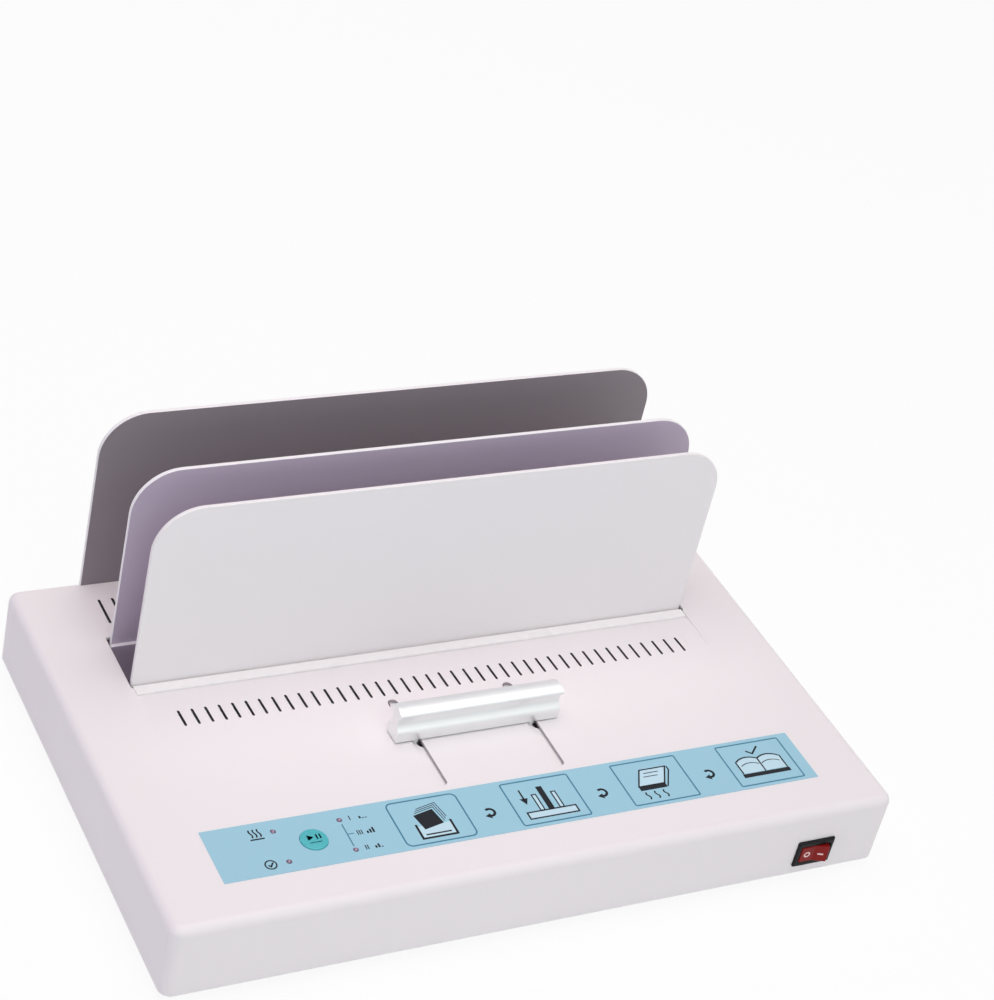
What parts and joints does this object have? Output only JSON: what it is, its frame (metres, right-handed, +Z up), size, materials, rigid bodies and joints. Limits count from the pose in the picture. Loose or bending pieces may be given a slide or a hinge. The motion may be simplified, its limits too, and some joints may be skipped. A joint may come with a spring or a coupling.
{
  "type": "thermal binding machine",
  "caption": "Desktop thermal binding machine: low steel housing with a heated trough between upright plates, a sliding jaw drawn by a handle, a start key and a rocker switch.",
  "frame": {"origin": "on the table, under the middle of the housing", "axes": "+Z up, +X to the user's right along the trough, -Y towards the user"},
  "size_m": [0.386, 0.2532, 0.15],
  "materials": {
    "cover_paint": "light warm-grey powder coat, satin",
    "base_paint": "grey paint, satin",
    "plate_paint": "light warm-grey powder coat, satin",
    "rack_paint": "grey powder coat, satin",
    "zinc_sheet": "zinc plated, satin",
    "rod_steel": "ground and polished",
    "handle_aluminium": "satin anodised",
    "heating_aluminium": "milled",
    "white_nylon": "matt white nylon",
    "insulation": "matt fibre board",
    "heater_foil": "dull foil",
    "label_foil": "light blue printed foil, semi-gloss",
    "button_teal": "teal, semi-gloss",
    "lamp_lens": "clear tinted lens",
    "circuit_board": "green solder mask",
    "component_black": "black moulded plastic",
    "transformer_core": "dark resin",
    "switch_black": "black moulded plastic",
    "rocker_red": "translucent dark red",
    "contact_brass": "bright",
    "foot_rubber": "matt black"
  },
  "bodies": {
    "housing": {"top_cover": "cover_paint", "base_plate": "base_paint", "rubber_feet": "foot_rubber", "front_plate": "plate_paint", "rear_plate": "rack_paint", "plate_clamps": "zinc_sheet", "foot_strip": "plate_paint", "guide_rods": "rod_steel", "rod_brackets": "zinc_sheet", "heating_plate": "heating_aluminium", "strip_heater": "heater_foil", "insulation_board": "insulation", "heater_tray": "zinc_sheet", "heater_stands": "zinc_sheet", "control_label": "label_foil", "status_lamps": "lamp_lens", "control_board": "circuit_board", "board_components": "component_black", "board_standoffs": "contact_brass", "power_board": "circuit_board", "board_spacers": "white_nylon", "transformer": "transformer_core", "power_components": "component_black", "switch_body": "switch_black", "switch_terminals": "contact_brass", "mains_inlet": "switch_black", "inlet_pins": "contact_brass"},
    "jaw": {"moving_plate": "rack_paint", "jaw_bracket": "rack_paint", "slide_arm_left": "zinc_sheet", "slide_arm_right": "zinc_sheet", "slide_blocks": "white_nylon", "carriage_plate": "plate_paint", "handle": "handle_aluminium", "handle_shoes": "white_nylon"},
    "power_rocker": {"switch_rocker": "rocker_red"},
    "start_key": {"start_button": "button_teal"}
  },
  "joints": [
    {"name": "jaw_slide", "type": "slide", "parent": "housing", "child": "jaw", "axis": [0, -1, 0], "range_m": [0, 0.026]},
    {"name": "power_switch", "type": "hinge", "parent": "housing", "child": "power_rocker", "pos_m": [0.1513, -0.1206, 0.0193], "axis": [0, 0, 1], "range_deg": [0, 22]},
    {"name": "start_press", "type": "slide", "parent": "housing", "child": "start_key", "axis": [0, 0, -1], "range_m": [0, 0.0008], "stiffness_N_per_m": 600, "springref_m": -0.001}
  ]
}
